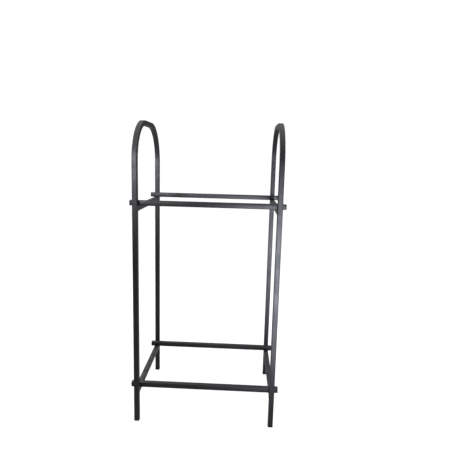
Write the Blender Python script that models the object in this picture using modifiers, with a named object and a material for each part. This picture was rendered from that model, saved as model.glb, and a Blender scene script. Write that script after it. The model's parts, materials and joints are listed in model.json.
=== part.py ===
"""Two-tier tyre storage rack: welded side frames of square tube, joined by four bolted cross beams.

The origin is on the floor, below the middle of the rack. +Z is up, and the open front faces -Y.
Lengths are in metres.
"""

import math

import bmesh
import bpy
from mathutils import Vector

# Overall size
WIDTH = 0.560            # over the outer faces of the two side frames
DEPTH = 0.430            # over the front and rear legs
HEIGHT = 1.200           # floor to the top of the side hoops
SHELF_HEIGHTS = {"lower": 0.137, "upper": 0.875}    # underside of the cross beams

# Square tube
TUBE = 0.020
WALL = 0.0015
CORNER = 0.0025          # outer corner radius
CORNER_STEPS = 3
BEND_RADIUS = 0.150      # to the middle of the tube, at the two bends of a hoop
BEND_STEPS = 10

BEAM_OVERHANG = 0.011    # bare beam tube beyond each side frame
GAP = 0.0003             # clearance between touching pieces

# Plastic inserts that close the tube ends
CAP_HEAD = 0.004         # thickness of a beam cap's head
CAP_PLUG = 0.014         # length inside the tube
FOOT_HEAD = 0.006
FOOT_PLUG = 0.018
HEAD_BEVEL = 0.0012
PLUG_CLEARANCE = 0.0005  # from the plug's sides to the tube's inside

# M6 fasteners, one set at each crossing of a beam and a rail. The bolt comes up through
# the rail into a rivet nut in the beam's underside, so the beam's top stays clear.
BOLT_RADIUS = 0.0030
HOLE_RADIUS = 0.0034
HEX_RADIUS = 0.010 / math.sqrt(3)    # corner radius of a hexagon 10 mm across flats
HEAD_HEIGHT = 0.0040
CHAMFER = 0.0007
BOLT_REACH = 0.0100      # from the beam's underside to the bolt's tip
WASHER_RADIUS = 0.0060
WASHER_HEIGHT = 0.0016
RIVET_RADIUS = 0.0045    # rivet nut's body
RIVET_LENGTH = 0.0120    # inside the beam
RIVET_BULGE = 0.0061     # collapsed part that grips the wall
RIVET_FLANGE = 0.0056
FLANGE_HEIGHT = 0.0006
ROUND_SIDES = 20

# Places worked out from the sizes
LEG_X = WIDTH / 2 - TUBE / 2
LEG_Y = DEPTH / 2 - TUBE / 2
BEAM_Y = LEG_Y - TUBE - GAP
BEAM_LENGTH = WIDTH + 2 * BEAM_OVERHANG
LEG_FOOT = FOOT_HEAD + GAP
HOOP_TOP = HEIGHT - TUBE / 2

SIDES = {"left": -1, "right": 1}
ENDS = {"front": -1, "rear": 1}
SMOOTH_BELOW = math.radians(35)


# ---------------------------------------------------------------- scene and materials

def clear_scene():
    for old in list(bpy.data.objects):
        bpy.data.objects.remove(old, do_unlink=True)


def new_collection(name, hidden=False):
    collection = bpy.data.collections.new(name)
    bpy.context.scene.collection.children.link(collection)
    collection.hide_render = hidden
    return collection


def new_material(name, colour, roughness, metallic):
    material = bpy.data.materials.new(name)
    material.use_nodes = True
    shader = material.node_tree.nodes["Principled BSDF"]
    shader.inputs["Base Color"].default_value = (*colour, 1.0)
    shader.inputs["Roughness"].default_value = roughness
    shader.inputs["Metallic"].default_value = metallic
    return material


# ---------------------------------------------------------------- objects and meshes

def add_object(name, mesh, material, location=(0, 0, 0)):
    obj = bpy.data.objects.new(name, mesh)
    RACK.objects.link(obj)
    obj.location = location
    mesh.materials.clear()
    mesh.materials.append(material)
    return obj


def add_cutter(name, data):
    """Object that only shapes others: a Boolean operand or a sweep guide."""
    cutter = bpy.data.objects.new(name, data)
    CUTTERS.objects.link(cutter)
    cutter.hide_render = True
    cutter.display_type = "WIRE"
    return cutter


def finish_mesh(bm, name):
    """Turn a bmesh into a mesh whose round faces are shaded smooth."""
    mesh = bpy.data.meshes.new(name)
    bmesh.ops.recalc_face_normals(bm, faces=bm.faces)
    bm.to_mesh(mesh)
    bm.free()
    mesh.shade_smooth()
    mesh.set_sharp_from_angle(angle=SMOOTH_BELOW)
    return mesh


def evaluated_mesh(obj, name):
    """Mesh of an object with its curve shape and modifiers worked out."""
    bpy.context.view_layer.update()
    depsgraph = bpy.context.evaluated_depsgraph_get()
    mesh = bpy.data.meshes.new_from_object(obj.evaluated_get(depsgraph))
    mesh.name = name
    mesh.transform(obj.matrix_world)
    return mesh


def cone_mesh(name, bottom, top, radius_bottom, radius_top, sides=ROUND_SIDES):
    """Upright cone, cylinder or prism between two heights."""
    bm = bmesh.new()
    made = bmesh.ops.create_cone(bm, cap_ends=True, segments=sides, depth=top - bottom,
                                 radius1=radius_bottom, radius2=radius_top)
    bmesh.ops.translate(bm, vec=Vector((0, 0, (top + bottom) / 2)), verts=made["verts"])
    return finish_mesh(bm, name)


def combine(name, base_mesh, steps):
    """Join, cut or trim a mesh with others, given as (operation, mesh) pairs."""
    base = add_cutter(name + "_base", base_mesh)
    helpers = []
    for operation, mesh in steps:
        helper = add_cutter(name + "_" + operation.lower(), mesh)
        helpers.append(helper)
        modifier = base.modifiers.new(operation.lower(), "BOOLEAN")
        modifier.operation = operation
        modifier.solver = "EXACT"
        modifier.object = helper
    mesh = evaluated_mesh(base, name)
    for used in [base] + helpers:
        bpy.data.objects.remove(used, do_unlink=True)
    mesh.shade_smooth()
    mesh.set_sharp_from_angle(angle=SMOOTH_BELOW)
    return mesh


# ---------------------------------------------------------------- square tube

def tube_section():
    """Rounded square outline that the tubes are swept along."""
    inner = TUBE / 2 - CORNER
    corners = [(inner, inner), (-inner, inner), (-inner, -inner), (inner, -inner)]
    points = []
    for turn, (x, y) in enumerate(corners):
        for step in range(CORNER_STEPS + 1):
            angle = math.radians(90) * (turn + step / CORNER_STEPS)
            points.append((x + CORNER * math.cos(angle), y + CORNER * math.sin(angle)))
    curve = bpy.data.curves.new("tube_section", "CURVE")
    curve.dimensions = "2D"
    spline = curve.splines.new("POLY")
    spline.points.add(len(points) - 1)
    for point, (x, y) in zip(spline.points, points):
        point.co = (x, y, 0, 1)
    spline.use_cyclic_u = True
    return add_cutter("tube_section", curve)


def square_tube(name, path):
    """Hollow square tube along a path, open at both ends."""
    curve = bpy.data.curves.new(name, "CURVE")
    curve.dimensions = "3D"
    curve.twist_mode = "MINIMUM"
    curve.bevel_mode = "OBJECT"
    curve.bevel_object = SECTION
    curve.use_fill_caps = False
    spline = curve.splines.new("POLY")
    spline.points.add(len(path) - 1)
    for point, place in zip(spline.points, path):
        point.co = (*place, 1)
    sweep = add_cutter(name + "_sweep", curve)
    skin = evaluated_mesh(sweep, name)
    bpy.data.objects.remove(sweep, do_unlink=True)

    bm = bmesh.new()
    bm.from_mesh(skin)
    bpy.data.meshes.remove(skin)
    bmesh.ops.remove_doubles(bm, verts=bm.verts, dist=0.00001)
    tube = add_object(name, finish_mesh(bm, name), POWDER_COAT)
    wall = tube.modifiers.new("wall", "SOLIDIFY")
    wall.thickness = WALL
    wall.offset = -1
    wall.use_even_offset = True
    return tube


def drill(tube, x, y, bottom, top, radius):
    """Upright round hole through what a tube has between two heights."""
    name = f"{tube.name}_hole_{len(tube.modifiers)}"
    cutter = add_cutter(name, cone_mesh(name, bottom, top, radius, radius))
    cutter.location = (x, y, 0)
    hole = tube.modifiers.new(name, "BOOLEAN")
    hole.operation = "DIFFERENCE"
    hole.solver = "EXACT"
    hole.object = cutter


def hoop_path(x):
    """One leg up, over the two bends and down the other leg."""
    bend_y = LEG_Y - BEND_RADIUS
    bend_z = HOOP_TOP - BEND_RADIUS
    path = [(x, -LEG_Y, LEG_FOOT)]
    for centre_y, start in ((-bend_y, 180), (bend_y, 90)):
        for step in range(BEND_STEPS + 1):
            angle = math.radians(start - 90 * step / BEND_STEPS)
            y = centre_y + BEND_RADIUS * math.cos(angle)
            path.append((x, y, bend_z + BEND_RADIUS * math.sin(angle)))
    path.append((x, LEG_Y, LEG_FOOT))
    return path


def make_side_frame(side, direction):
    """A hoop, and the two rails welded between its legs."""
    x = direction * LEG_X
    square_tube(side + "_hoop", hoop_path(x))
    rail_end = LEG_Y - TUBE / 2 - GAP
    for tier, shelf in SHELF_HEIGHTS.items():
        z = shelf - GAP - TUBE / 2
        rail = square_tube(f"{side}_{tier}_rail", [(x, -rail_end, z), (x, rail_end, z)])
        for end_direction in ENDS.values():
            y = end_direction * BEAM_Y
            drill(rail, x, y, z - TUBE, z, HOLE_RADIUS)
            drill(rail, x, y, z, z + TUBE, RIVET_FLANGE + GAP)


def make_beam(tier, end):
    """A cross beam that lies on the two rails of its tier."""
    y = ENDS[end] * BEAM_Y
    z = SHELF_HEIGHTS[tier] + TUBE / 2
    half = BEAM_LENGTH / 2
    beam = square_tube(f"{tier}_{end}_beam", [(-half, y, z), (half, y, z)])
    for direction in SIDES.values():
        drill(beam, direction * LEG_X, y, z - TUBE, z, RIVET_RADIUS + GAP)


# ---------------------------------------------------------------- plastic inserts

def insert_mesh(name, head, plug):
    """Square head with a thinner square plug above it; the head's outer face is at z = 0."""
    bm = bmesh.new()
    made = bmesh.ops.create_cube(bm, size=1.0)
    bmesh.ops.scale(bm, vec=Vector((TUBE, TUBE, head)), verts=made["verts"])
    bmesh.ops.translate(bm, vec=Vector((0, 0, head / 2)), verts=made["verts"])
    top = max(bm.faces, key=lambda face: face.calc_center_median().z)
    outer_edges = [edge for edge in bm.edges if edge not in top.edges]
    bmesh.ops.inset_region(bm, faces=[top], thickness=WALL + PLUG_CLEARANCE,
                             use_even_offset=True)
    raised = bmesh.ops.extrude_face_region(bm, geom=[top])
    bmesh.ops.delete(bm, geom=[top], context="FACES_ONLY")
    raised_verts = [item for item in raised["geom"] if isinstance(item, bmesh.types.BMVert)]
    bmesh.ops.translate(bm, vec=Vector((0, 0, plug)), verts=raised_verts)
    bmesh.ops.bevel(bm, geom=outer_edges, offset=HEAD_BEVEL, segments=2, profile=0.5,
                    affect="EDGES")
    return finish_mesh(bm, name)


def make_beam_caps(mesh):
    for tier, shelf in SHELF_HEIGHTS.items():
        for end, end_direction in ENDS.items():
            for side, direction in SIDES.items():
                x = direction * (BEAM_LENGTH / 2 + GAP + CAP_HEAD)
                place = (x, end_direction * BEAM_Y, shelf + TUBE / 2)
                cap = add_object(f"{tier}_{end}_beam_cap_{side}", mesh, CAP_PLASTIC, place)
                cap.rotation_euler.y = -direction * math.radians(90)


def make_feet(mesh):
    for side, direction in SIDES.items():
        for end, end_direction in ENDS.items():
            place = (direction * LEG_X, end_direction * LEG_Y, 0)
            add_object(f"{side}_{end}_foot", mesh, CAP_PLASTIC, place)


# ---------------------------------------------------------------- fasteners

def turned_mesh(name, profile):
    """Ring turned from a closed outline of (radius, height) points, outer side first, going down."""
    bm = bmesh.new()
    verts = [bm.verts.new((radius, 0, height)) for radius, height in profile]
    for first, second in zip(verts, verts[1:] + verts[:1]):
        bm.edges.new((first, second))
    outline = bpy.data.meshes.new(name + "_outline")
    bm.to_mesh(outline)
    bm.free()
    turned = add_cutter(name + "_turned", outline)
    screw = turned.modifiers.new("turn", "SCREW")
    screw.axis = "Z"
    screw.steps = ROUND_SIDES
    screw.render_steps = ROUND_SIDES
    screw.use_merge_vertices = True
    screw.merge_threshold = 0.00001
    mesh = evaluated_mesh(turned, name)
    bpy.data.objects.remove(turned, do_unlink=True)
    mesh.shade_smooth()
    mesh.set_sharp_from_angle(angle=SMOOTH_BELOW)
    return mesh


def bolt_mesh():
    """Hexagon bolt that stands up from the top of its head, at z = 0."""
    length = (WASHER_HEIGHT + 2 * GAP) + (TUBE + GAP) + BOLT_REACH
    head = cone_mesh("bolt_head", -HEAD_HEIGHT, 0, HEX_RADIUS, HEX_RADIUS, sides=6)
    chamfer = cone_mesh("bolt_chamfer", -HEAD_HEIGHT, HEAD_HEIGHT,
                        HEX_RADIUS - CHAMFER, HEX_RADIUS + 5 * CHAMFER)
    shank = cone_mesh("bolt_shank", -HEAD_HEIGHT / 2, length - CHAMFER, BOLT_RADIUS, BOLT_RADIUS)
    tip = cone_mesh("bolt_tip", length - CHAMFER - GAP, length, BOLT_RADIUS,
                    BOLT_RADIUS - CHAMFER)
    return combine("bolt", head, [("INTERSECT", chamfer), ("UNION", shank), ("UNION", tip)])


def washer_mesh():
    """Flat washer below z = 0."""
    bore = BOLT_RADIUS + GAP
    profile = [(WASHER_RADIUS, 0), (WASHER_RADIUS, -WASHER_HEIGHT), (bore, -WASHER_HEIGHT), (bore, 0)]
    return turned_mesh("washer", profile)


def rivet_nut_mesh():
    """Rivet nut set in the wall just above z = 0, with its flange just below."""
    bore = BOLT_RADIUS + GAP
    wall_top = WALL + GAP
    flange_bottom = -GAP - FLANGE_HEIGHT
    bulge_height = RIVET_BULGE - RIVET_RADIUS
    profile = [
        (RIVET_RADIUS, RIVET_LENGTH),
        (RIVET_RADIUS, wall_top + 3 * bulge_height),
        (RIVET_BULGE, wall_top + 2 * bulge_height),
        (RIVET_BULGE, wall_top + bulge_height / 2),
        (RIVET_RADIUS, wall_top),
        (RIVET_RADIUS, -GAP),
        (RIVET_FLANGE, -GAP),
        (RIVET_FLANGE, flange_bottom),
        (bore, flange_bottom),
        (bore, RIVET_LENGTH),
    ]
    return turned_mesh("rivet_nut", profile)


def make_fasteners():
    """Bolt and washer under each rail, and the rivet nut above it in the beam."""
    bolt, washer, rivet_nut = bolt_mesh(), washer_mesh(), rivet_nut_mesh()
    for tier, shelf in SHELF_HEIGHTS.items():
        washer_z = shelf - TUBE - 2 * GAP
        head_z = washer_z - WASHER_HEIGHT - GAP
        for end, end_direction in ENDS.items():
            for side, direction in SIDES.items():
                x, y = direction * LEG_X, end_direction * BEAM_Y
                place = f"{tier}_{end}_{side}"
                add_object(place + "_bolt", bolt, ZINC, (x, y, head_z))
                add_object(place + "_washer", washer, ZINC, (x, y, washer_z))
                add_object(place + "_rivet_nut", rivet_nut, ZINC, (x, y, shelf))


# ---------------------------------------------------------------- the rack

clear_scene()
RACK = new_collection("tyre_storage_rack")
CUTTERS = new_collection("cutters", hidden=True)
POWDER_COAT = new_material("powder_coat", (0.0135, 0.0140, 0.0166), 0.45, 0.0)
CAP_PLASTIC = new_material("cap_plastic", (0.009, 0.009, 0.0095), 0.57, 0.0)
ZINC = new_material("zinc", (0.62, 0.63, 0.65), 0.34, 1.0)
SECTION = tube_section()

for side_name, side_direction in SIDES.items():
    make_side_frame(side_name, side_direction)
for tier_name in SHELF_HEIGHTS:
    for end_name in ENDS:
        make_beam(tier_name, end_name)
make_beam_caps(insert_mesh("beam_cap", CAP_HEAD, CAP_PLUG))
make_feet(insert_mesh("foot", FOOT_HEAD, FOOT_PLUG))
make_fasteners()
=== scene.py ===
"""Looks of the two-tier tyre storage rack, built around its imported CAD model. Lengths are in metres."""

import json
import math
import random

import bmesh
import bpy
from mathutils import Matrix, Vector


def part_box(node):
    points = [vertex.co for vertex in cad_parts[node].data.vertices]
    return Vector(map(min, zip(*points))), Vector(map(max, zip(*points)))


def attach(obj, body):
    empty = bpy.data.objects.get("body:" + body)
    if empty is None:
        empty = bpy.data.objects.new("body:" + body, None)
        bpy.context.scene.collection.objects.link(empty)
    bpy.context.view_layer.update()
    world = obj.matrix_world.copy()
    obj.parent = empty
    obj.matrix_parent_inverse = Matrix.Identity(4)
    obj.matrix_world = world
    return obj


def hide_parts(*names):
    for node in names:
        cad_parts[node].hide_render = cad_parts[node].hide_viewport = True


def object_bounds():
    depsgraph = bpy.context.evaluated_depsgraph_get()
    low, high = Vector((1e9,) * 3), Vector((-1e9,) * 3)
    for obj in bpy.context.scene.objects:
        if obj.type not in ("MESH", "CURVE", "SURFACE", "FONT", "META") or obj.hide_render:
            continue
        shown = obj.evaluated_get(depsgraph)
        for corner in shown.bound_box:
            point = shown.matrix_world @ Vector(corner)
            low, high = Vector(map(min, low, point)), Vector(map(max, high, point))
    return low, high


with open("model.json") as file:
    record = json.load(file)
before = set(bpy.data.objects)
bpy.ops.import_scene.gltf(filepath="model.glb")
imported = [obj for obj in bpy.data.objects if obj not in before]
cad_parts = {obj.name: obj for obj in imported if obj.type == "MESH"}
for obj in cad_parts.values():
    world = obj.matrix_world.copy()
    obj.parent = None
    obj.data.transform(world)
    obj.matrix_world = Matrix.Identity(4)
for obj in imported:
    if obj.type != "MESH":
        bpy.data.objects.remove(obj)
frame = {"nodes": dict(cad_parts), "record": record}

CAD_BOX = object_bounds()
NODES = frame["nodes"]
BODY = "root"

SIDES = {"left": -1, "right": 1}
ENDS = {"front": -1, "rear": 1}
TIERS = ("lower", "upper")

# Sizes read from the frame
HOOP_LOW, HOOP_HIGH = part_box("right_hoop")
TUBE = HOOP_HIGH.x - HOOP_LOW.x
HALF = TUBE / 2
LEG_X = HOOP_LOW.x + HALF
LEG_Y = HOOP_HIGH.y - HALF

# Smooth shading
SMOOTH_BELOW = math.radians(38)       # steeper edges are creases
MERGE_WITHIN = 0.00001                # joins points that lie together

# Square tube, as in the CAD
CORNER = 0.0025                       # outer corner radius
WALL = 0.0015
BEND_RADIUS = 0.150                   # to the middle of the tube
BEND_STEPS = 40
DRAWN_IN = 0.0007                     # how far a bend's inner face sinks in the middle
ROUNDEST = 0.8                        # a corner's largest share of a square's half, so sides stay


# ---------------------------------------------------------------- camera

PHOTO_SIZE = 450
FOCAL_PIXELS = 409.6
CAMERA_PLACE = (0.125, CAD_BOX[0].y - 1.498, 1.056)
CAMERA_YAW = math.radians(2.16)       # to the left
CAMERA_PITCH = math.radians(9.13)     # down
CAMERA_ROLL = math.radians(1.45)


def make_camera():
    data = bpy.data.cameras.new("camera")
    data.sensor_width = 36.0
    data.lens = FOCAL_PIXELS / PHOTO_SIZE * data.sensor_width
    data.clip_start = 0.05
    data.clip_end = 50.0
    camera = bpy.data.objects.new("camera", data)
    bpy.context.scene.collection.objects.link(camera)
    turn = (Matrix.Rotation(CAMERA_YAW, 4, "Z")
            @ Matrix.Rotation(math.radians(90) - CAMERA_PITCH, 4, "X")
            @ Matrix.Rotation(CAMERA_ROLL, 4, "Z"))
    camera.matrix_world = Matrix.Translation(CAMERA_PLACE) @ turn
    bpy.context.scene.camera = camera


# ---------------------------------------------------------------- node materials

class Nodes:
    """Short way to add shader nodes and link them."""

    def __init__(self, name):
        self.material = bpy.data.materials.new(name)
        self.material.use_nodes = True
        self.tree = self.material.node_tree
        self.shader = self.tree.nodes["Principled BSDF"]

    def add(self, kind, inputs=None, **settings):
        node = self.tree.nodes.new("ShaderNode" + kind)
        for key, value in settings.items():
            setattr(node, key, value)
        for key, value in (inputs or {}).items():
            self.feed(node, key, value)
        return node

    def feed(self, node, key, value):
        if isinstance(value, bpy.types.NodeSocket):
            self.tree.links.new(value, node.inputs[key])
        else:
            node.inputs[key].default_value = value

    def math(self, operation, a, b=0.0):
        return self.add("Math", {0: a, 1: b}, operation=operation).outputs[0]

    def noise(self, where, scale, detail=3.0, roughness=0.5):
        made = self.add("TexNoise", {"Vector": where, "Scale": scale, "Detail": detail,
                                     "Roughness": roughness})
        return made.outputs["Fac"]

    def remap(self, value, low, high, to_low=0.0, to_high=1.0):
        made = self.add("MapRange", {"Value": value, "From Min": low, "From Max": high,
                                     "To Min": to_low, "To Max": to_high})
        made.clamp = True
        return made.outputs["Result"]

    def mix(self, factor, a, b):
        made = self.add("Mix", data_type="RGBA")
        self.feed(made, 0, factor)
        self.feed(made, 6, a)
        self.feed(made, 7, b)
        return made.outputs[2]

    def bump(self, height, distance):
        return self.add("Bump", {"Height": height, "Distance": distance}).outputs["Normal"]

    def facing_up(self):
        normal = self.add("NewGeometry").outputs["Normal"]
        return self.add("SeparateXYZ", {0: normal}).outputs["Z"]

    def edges(self, radius):
        """1 at convex and concave edges, 0 on flat faces."""
        normal = self.add("NewGeometry").outputs["Normal"]
        rounded = self.add("Bevel", {"Radius": radius}, samples=4).outputs["Normal"]
        alike = self.add("VectorMath", {0: normal, 1: rounded}, operation="DOT_PRODUCT")
        return self.remap(alike.outputs["Value"], 0.995, 0.90, 0.0, 1.0)


# Distance from the middle of the rack that tyres rub the beams up to, and where the rubbing ends
RUBBED = 0.222
UNRUBBED = 0.246


def powder_coat():
    n = Nodes("powder_coat")
    place = n.add("TexCoord").outputs["Object"]
    up = n.remap(n.facing_up(), 0.35, 0.95)

    # Blue-black colour, a little uneven
    blotches = n.noise(place, 9.0, detail=4.0)
    colour = n.mix(n.remap(blotches, 0.35, 0.65), (0.0118, 0.0123, 0.0146, 1),
                   (0.0152, 0.0158, 0.0186, 1))

    # Dust on faces that point up, mostly rubbed off where tyres stand on the beams
    from_middle = n.math("ABSOLUTE", n.add("SeparateXYZ", {0: place}).outputs["X"])
    under_tyres = n.remap(from_middle, UNRUBBED, RUBBED)
    dust_patches = n.remap(n.noise(place, 38.0, detail=6.0, roughness=0.65), 0.40, 0.72)
    dust_amount = n.remap(under_tyres, 0.0, 1.0, 0.15, 0.05)
    dust = n.math("MULTIPLY", n.math("MULTIPLY", up, dust_patches), dust_amount)
    colour = n.mix(dust, colour, (0.30, 0.285, 0.26, 1))

    # Dull rubber marks across the beams, left by tyres rolled on and off
    stretched = n.add("Mapping", {"Vector": place, "Scale": (1.0, 0.12, 0.12)}).outputs[0]
    streaks = n.remap(n.noise(stretched, 210.0, detail=5.0, roughness=0.6), 0.52, 0.68)
    marks = n.math("MULTIPLY", n.math("MULTIPLY", up, under_tyres), streaks)
    colour = n.mix(n.math("MULTIPLY", marks, 0.7), colour, (0.0065, 0.0065, 0.0065, 1))

    # Rubbed edges: the coat is polished and a little lighter
    wear_patches = n.remap(n.noise(place, 60.0, detail=5.0), 0.46, 0.70)
    wear = n.math("MULTIPLY", n.edges(0.0012), wear_patches)
    colour = n.mix(n.math("MULTIPLY", wear, 0.35), colour, (0.075, 0.077, 0.083, 1))
    n.feed(n.shader, "Base Color", colour)

    roughness = n.remap(n.noise(place, 26.0, detail=5.0), 0.3, 0.7, 0.40, 0.50)
    roughness = n.math("ADD", roughness, n.math("MULTIPLY", dust, 1.6))
    roughness = n.math("ADD", roughness, n.math("MULTIPLY", marks, 0.16))
    roughness = n.math("SUBTRACT", roughness, n.math("MULTIPLY", wear, 0.10))
    n.feed(n.shader, "Roughness", roughness)
    n.feed(n.shader, "Specular IOR Level", 0.28)

    # Orange peel
    peel = n.noise(place, 520.0, detail=2.0)
    n.feed(n.shader, "Normal", n.bump(peel, 0.00003))
    return n.material


def cap_plastic():
    n = Nodes("cap_plastic")
    place = n.add("TexCoord").outputs["Object"]
    flow = n.noise(place, 70.0, detail=4.0)
    colour = n.mix(n.remap(flow, 0.35, 0.65), (0.0070, 0.0070, 0.0075, 1),
                   (0.0110, 0.0110, 0.0115, 1))
    scuffed = n.math("MULTIPLY", n.edges(0.0008), n.remap(n.noise(place, 220.0), 0.45, 0.65))
    colour = n.mix(n.math("MULTIPLY", scuffed, 0.5), colour, (0.06, 0.06, 0.06, 1))
    n.feed(n.shader, "Base Color", colour)
    n.feed(n.shader, "Roughness", n.remap(n.noise(place, 140.0, detail=4.0), 0.3, 0.7, 0.50, 0.64))
    n.feed(n.shader, "Specular IOR Level", 0.20)
    spark = n.add("TexVoronoi", {"Vector": place, "Scale": 2200.0}).outputs["Distance"]
    n.feed(n.shader, "Normal", n.bump(spark, 0.00003))
    return n.material


def zinc():
    n = Nodes("zinc")
    place = n.add("TexCoord").outputs["Object"]
    tint = n.remap(n.noise(place, 130.0, detail=4.0), 0.35, 0.65)
    colour = n.mix(tint, (0.56, 0.57, 0.60, 1), (0.66, 0.65, 0.61, 1))
    n.feed(n.shader, "Base Color", colour)
    n.feed(n.shader, "Metallic", 1.0)
    n.feed(n.shader, "Roughness", n.remap(n.noise(place, 400.0, detail=5.0), 0.3, 0.7, 0.26, 0.42))
    n.feed(n.shader, "Normal", n.bump(n.noise(place, 900.0, detail=3.0), 0.00002))
    return n.material


# ---------------------------------------------------------------- stage

AMBIENT = 0.18                        # strength of the white surroundings as a light
BACKGROUND = 1.05                     # and to look at, just past white so that it stays even
OVERHEAD = 2.6                        # soft light straight down
FLOOR_COVER = 0.35                    # the rest of the floor lets the white surroundings through
FLOOR_SIZE = 40.0


def make_floor():
    bpy.ops.mesh.primitive_plane_add(size=FLOOR_SIZE, location=(0, 0, CAD_BOX[0].z))
    floor = bpy.context.object
    floor.name = "floor"
    n = Nodes("floor")
    n.feed(n.shader, "Base Color", (0.94, 0.94, 0.94, 1))
    n.feed(n.shader, "Roughness", 1.0)
    n.feed(n.shader, "Specular IOR Level", 0.0)
    n.feed(n.shader, "Emission Color", (1, 1, 1, 1))
    n.feed(n.shader, "Emission Strength", 0.1)
    n.feed(n.shader, "Alpha", FLOOR_COVER)
    floor.data.materials.append(n.material)


def area_light(name, place, target, size, power, spread, colour):
    """Soft light with a grid in front that keeps its beam within the spread, in degrees."""
    data = bpy.data.lights.new(name, "AREA")
    data.shape = "RECTANGLE"
    data.size, data.size_y = size
    data.energy = power
    data.spread = math.radians(spread)
    data.color = colour
    light = bpy.data.objects.new(name, data)
    bpy.context.scene.collection.objects.link(light)
    light.location = place
    light.rotation_mode = "QUATERNION"
    light.rotation_quaternion = (Vector(target) - Vector(place)).to_track_quat("-Z", "Y")


def make_world():
    """White to look at, and dimmer as a light, so that the dark coat keeps its contrast."""
    world = bpy.data.worlds.new("studio")
    bpy.context.scene.world = world
    world.use_nodes = True
    tree = world.node_tree
    seen = tree.nodes.new("ShaderNodeLightPath").outputs["Is Camera Ray"]
    strength = tree.nodes.new("ShaderNodeMapRange")
    strength.inputs["To Min"].default_value = AMBIENT
    strength.inputs["To Max"].default_value = BACKGROUND
    tree.links.new(seen, strength.inputs["Value"])
    tree.links.new(strength.outputs["Result"], tree.nodes["Background"].inputs["Strength"])
    tree.nodes["Background"].inputs["Color"].default_value = (1, 1, 1, 1)


def make_lights():
    sky = bpy.data.lights.new("overhead", "SUN")
    sky.energy = OVERHEAD
    sky.angle = math.radians(100)
    overhead = bpy.data.objects.new("overhead", sky)
    bpy.context.scene.collection.objects.link(overhead)
    overhead.location = (0, 0, 3)
    area_light("low_front", place=(0.39, -1.45, 0.36), target=(0.28, -0.2, 0.60),
               size=(0.30, 0.74), power=2.2, spread=32, colour=(0.85, 0.88, 1.0))
    area_light("left_front", place=(-0.80, -2.0, 1.52), target=(-0.31, -0.2, 1.26),
               size=(0.30, 0.70), power=1.7, spread=20, colour=(0.94, 0.95, 1.0))
    area_light("left_rear", place=(-1.9, 1.9, 1.7), target=(0, 0, 0.60),
               size=(1.0, 1.0), power=15, spread=120, colour=(0.96, 0.97, 1.0))
    area_light("right_side", place=(2.4, -0.4, 1.5), target=(0, 0, 0.60),
               size=(1.0, 1.0), power=13, spread=120, colour=(0.96, 0.97, 1.0))


# ---------------------------------------------------------------- pieces

def loft(name, rings, slot, replaced=None, hollow=False):
    """Closed piece through a row of rings, each a list of points in the row frame.

    A hollow one's rings go along its outside and back along its inside. Others have flat ends.
    """
    bm = bmesh.new()
    rows = [[bm.verts.new(point) for point in ring] for ring in rings]
    if hollow:
        rows.append(rows[0])
    else:
        bm.faces.new(rows[0])
        bm.faces.new(rows[-1])
    for row, following in zip(rows, rows[1:]):
        for i in range(len(row)):
            j = (i + 1) % len(row)
            bm.faces.new((row[i], row[j], following[j], following[i]))
    bmesh.ops.recalc_face_normals(bm, faces=bm.faces)
    mesh = bpy.data.meshes.new(name)
    bm.to_mesh(mesh)
    bm.free()
    mesh.shade_smooth()
    mesh.set_sharp_from_angle(angle=SMOOTH_BELOW)
    mesh.materials.append(MATERIALS[slot])
    piece = bpy.data.objects.new(name, mesh)
    bpy.context.scene.collection.objects.link(piece)
    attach(piece, BODY)
    if replaced:
        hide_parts(replaced)


def rounded_square(half, corner, steps=6):
    """Points of a square with rounded corners, around (0, 0)."""
    corner = min(corner, ROUNDEST * half)
    inner = half - corner
    points = []
    corners = ((inner, inner), (-inner, inner), (-inner, -inner), (inner, -inner))
    for turn, (x, y) in enumerate(corners):
        for step in range(steps + 1):
            angle = math.radians(90) * (turn + step / steps)
            points.append((x + corner * math.cos(angle), y + corner * math.sin(angle)))
    return points


def hoop_stations(low):
    """Places along a hoop, as (y, z, angle of its outward direction, share of being drawn in)."""
    bend_y = LEG_Y - BEND_RADIUS
    bend_z = HOOP_HIGH.z - HALF - BEND_RADIUS
    stations = [(-LEG_Y, low, 180.0, 0.0)]
    for centre_y, start in ((-bend_y, 180.0), (bend_y, 90.0)):
        for step in range(BEND_STEPS + 1):
            share = step / BEND_STEPS
            angle = start - 90 * share
            y = centre_y + BEND_RADIUS * math.cos(math.radians(angle))
            z = bend_z + BEND_RADIUS * math.sin(math.radians(angle))
            stations.append((y, z, angle, math.sin(math.pi * share) ** 0.5))
    stations.append((LEG_Y, low, 0.0, 0.0))
    return stations


def hoop_rings(x, stations, inset):
    """Rings along a hoop's outside, or along its bore with the wall's thickness as the inset."""
    rings = []
    for y, z, angle, bent in stations:
        away = Vector((0, math.cos(math.radians(angle)), math.sin(math.radians(angle))))
        ring = []
        for across, out in rounded_square(HALF - inset, CORNER - inset):
            if out < (CORNER + inset) / 2 - HALF:
                out += DRAWN_IN * bent * (1 - (across / HALF) ** 2)
            ring.append(Vector((x + across, y, z)) + away * out)
        rings.append(ring)
    return rings


def make_hoop(side, x):
    """Legs and bends in one tube. The inner face sinks a little where the tube is bent."""
    stations = hoop_stations(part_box(side + "_hoop")[0].z)
    outside = hoop_rings(x, stations, 0.0)
    bore = hoop_rings(x, stations, WALL)
    loft(side + "_hoop_tube", outside + bore[::-1], "powder_coat", side + "_hoop", hollow=True)


# Injection-moulded inserts: a head outside the tube's end and a ribbed plug inside it
CAP_HEAD = 0.0040
CAP_PLUG = 0.0140
FOOT_HEAD = 0.0060
FOOT_PLUG = 0.0180
HEAD_CORNER = 0.0028
PLUG_CORNER = 0.0012
HEAD_CHAMFER = 0.0003                 # at the head's back edge
PLUG_INSET = WALL + 0.0006
LEAD_IN = 0.0020                      # length of the plug's tapered end
LEAD_INSET = PLUG_INSET + 0.0012
RIBS = 3
FIRST_RIB = 0.6                       # of the ribs' pitch, from the head

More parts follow.
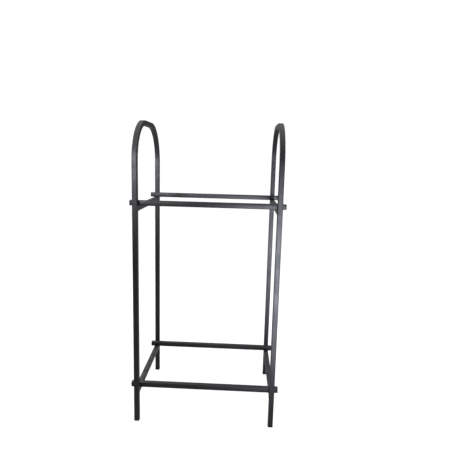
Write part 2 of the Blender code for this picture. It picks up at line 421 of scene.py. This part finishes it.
# Profiles as (depth from the outer face, distance in from the tube's sides). The cap has the mark
# of the moulding gate in its middle.
CAP_FACE = [(0.00010, 0.0094), (0.00008, 0.0088), (-0.00016, 0.0085), (-0.00016, 0.0075),
            (-0.00010, 0.0050), (0.00000, 0.0026), (0.00012, 0.0015), (0.00040, 0.0008),
            (0.00090, 0.0003), (0.00150, 0.0001), (0.00220, 0.0000)]
FOOT_FACE = [(0.0, 0.0020), (0.00010, 0.0010), (0.00040, 0.0004), (0.00090, 0.0001),
             (0.00150, 0.0000)]
RIB = [(0.0, PLUG_INSET), (0.0004, WALL + 0.00005), (0.0012, WALL + 0.00010), (0.0020, PLUG_INSET)]


def make_insert(node, face, head, plug, face_middle, outward):
    profile = face + [(head - HEAD_CHAMFER, 0.0), (head, HEAD_CHAMFER), (head, PLUG_INSET)]
    pitch = plug / (RIBS + 1)
    for rib in range(RIBS):
        start = head + pitch * (rib + FIRST_RIB)
        profile += [(start + depth, inset) for depth, inset in RIB]
    profile += [(head + plug - LEAD_IN, PLUG_INSET), (head + plug, LEAD_INSET)]
    u = Vector((0, 1, 0)) if outward.x else Vector((1, 0, 0))
    v = outward.cross(u)
    rings = []
    for depth, inset in profile:
        centre = face_middle - outward * depth
        ring = rounded_square(HALF - inset, max(HEAD_CORNER - inset, PLUG_CORNER))
        rings.append([centre + u * a + v * b for a, b in ring])
    loft(node + "_moulding", rings, "cap_plastic", node)


def make_inserts():
    for node in NODES:
        low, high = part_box(node)
        middle = (low + high) / 2
        if "_beam_cap_" in node:
            direction = 1 if middle.x > 0 else -1
            outer = high.x if direction > 0 else low.x
            make_insert(node, CAP_FACE, CAP_HEAD, CAP_PLUG,
                        Vector((outer, middle.y, middle.z)), Vector((direction, 0, 0)))
        elif node.endswith("_foot"):
            make_insert(node, FOOT_FACE, FOOT_HEAD, FOOT_PLUG,
                        Vector((middle.x, middle.y, low.z)), Vector((0, 0, -1)))


# Weld bead around the sides and bottom of a rail's end. It is thicker below the rail than beside it,
# so sizes in pairs are (beside, below).
BEAD_STEP = 0.0004
BEAD_SIDES = 14
BEAD_RADIUS = (0.0023, 0.0037)
BEAD_SUNK = (0.0015, 0.0010)          # depth of its centre line below the rail's surface
BEAD_IN_LEG = (0.0007, 0.0010)        # depth of its centre line below the leg's surface
BEAD_TOP_GAP = 0.0012                 # from its ends to the top of the rail
BEAD_TAPER = 0.0030                   # length over which its ends become round
THINNEST = 0.004                      # square of the share of the radius left at the very ends

# The ripples and the hand's sway
RIPPLE_PITCH = 0.0017
RIPPLE_DEPTH = 0.045                  # share of the radius
RIPPLE_MEAN = 0.67                    # of 1 - wave ** 2
RIPPLE_TRAIL = 0.30                   # how far a ripple's ends lag, as a share of the pitch
PATH_SWAY = ((410, 0.00014), (1130, 0.00009))      # (radians per metre, size)
THICKNESS_SWAY = ((530, 0.035), (1490, 0.02))      # (radians per metre, share of the radius)


def seam_points(half, corner, top_gap):
    """The points of the U-shaped seam, and its length.

    A point is (across, up, outward direction, share of the way to the bottom run, distance along).
    """
    run = half - corner
    arc = corner * math.radians(90)
    side = half - top_gap + run
    total = 2 * (side + arc + run)
    points = []
    count = round(total / BEAD_STEP)
    for i in range(count + 1):
        along = total * i / count
        s = min(along, total - along)
        mirror = 1 if along <= total / 2 else -1
        if s < side:
            across, up = half, half - top_gap - s
            share = 0.0
        elif s < side + arc:
            share = (s - side) / arc
            across = run + corner * math.cos(share * math.radians(90))
            up = -run - corner * math.sin(share * math.radians(90))
        else:
            across, up = run - (s - side - arc), -half
            share = 1.0
        angle = share * math.radians(90)
        out = Vector((mirror * math.cos(angle), 0, -math.sin(angle)))
        points.append((mirror * across, up, out, share, along))
    return points, total


def between(pair, share):
    return pair[0] + (pair[1] - pair[0]) * share


def sway(along, waves, phases):
    return sum(size * math.sin(along * rate + phase) for (rate, size), phase in zip(waves, phases))


def bead_ring(centre, out, inward, radius, ripple):
    """Ring around the bead's centre line. Each ripple is an arc whose ends trail."""
    ring = []
    for k in range(BEAD_SIDES):
        angle = math.radians(360) * k / BEAD_SIDES
        wave = (ripple + RIPPLE_TRAIL * math.cos(angle)) % 1.0
        swell = 1 + RIPPLE_DEPTH * (1 - wave ** 2 - RIPPLE_MEAN)
        away = out * math.cos(angle) + Vector((0, inward * math.sin(angle), 0))
        ring.append(centre + away * (radius * swell))
    return ring


def make_weld(side, tier, end):
    """Rippled fillet where a rail meets a leg. The beam lies on top, so the top has no bead."""
    rail_low, rail_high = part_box(f"{side}_{tier}_rail")
    middle_x = (rail_low.x + rail_high.x) / 2
    middle_z = (rail_low.z + rail_high.z) / 2
    inward = -ENDS[end]                   # from the leg towards the middle of the rail
    face_y = ENDS[end] * (LEG_Y - HALF)
    chance = random.Random(f"{side} {tier} {end}")
    points, total = seam_points(HALF, CORNER, BEAD_TOP_GAP)
    first_ripple = chance.random()
    phases = [chance.uniform(0, math.radians(360)) for _ in range(4)]
    rings = []
    for across, up, out, share, along in points:
        share = share * share * (3 - 2 * share)
        radius = between(BEAD_RADIUS, share) * (1 + sway(along, THICKNESS_SWAY, phases[2:]))
        edge = min(along, total - along)
        if edge < BEAD_TAPER:
            radius *= math.sqrt(max(1 - (1 - edge / BEAD_TAPER) ** 2, THINNEST))
        shift = sway(along, PATH_SWAY, phases[:2]) - between(BEAD_IN_LEG, share)
        seam = Vector((middle_x + across, face_y + inward * shift, middle_z + up))
        centre = seam - out * between(BEAD_SUNK, share)
        rings.append(bead_ring(centre, out, inward, radius, along / RIPPLE_PITCH + first_ripple))
    loft(f"{side}_{tier}_{end}_weld", rings, "powder_coat")


# ---------------------------------------------------------------- scene

def smooth_node(node):
    """Shade a CAD node's round stretches smooth and keep its creases."""
    node.data.shade_smooth()
    merge = node.modifiers.new("merge", "WELD")
    merge.merge_threshold = MERGE_WITHIN
    split = node.modifiers.new("creases", "EDGE_SPLIT")
    split.split_angle = SMOOTH_BELOW


def dress_nodes(materials):
    slots = {row["node"]: row["material_slot"] for row in frame["record"]["subparts"]}
    for name, node in NODES.items():
        node.data.materials.clear()
        node.data.materials.append(materials[slots[name]])
        smooth_node(node)


def set_look():
    scene = bpy.context.scene
    scene.view_settings.view_transform = "Standard"
    scene.view_settings.look = "None"


make_camera()
make_floor()
make_world()
make_lights()
set_look()
MATERIALS = {"powder_coat": powder_coat(), "cap_plastic": cap_plastic(), "zinc": zinc()}
dress_nodes(MATERIALS)
for side_name, side_direction in SIDES.items():
    make_hoop(side_name, side_direction * LEG_X)
    for tier_name in TIERS:
        for end_name in ENDS:
            make_weld(side_name, tier_name, end_name)
make_inserts()
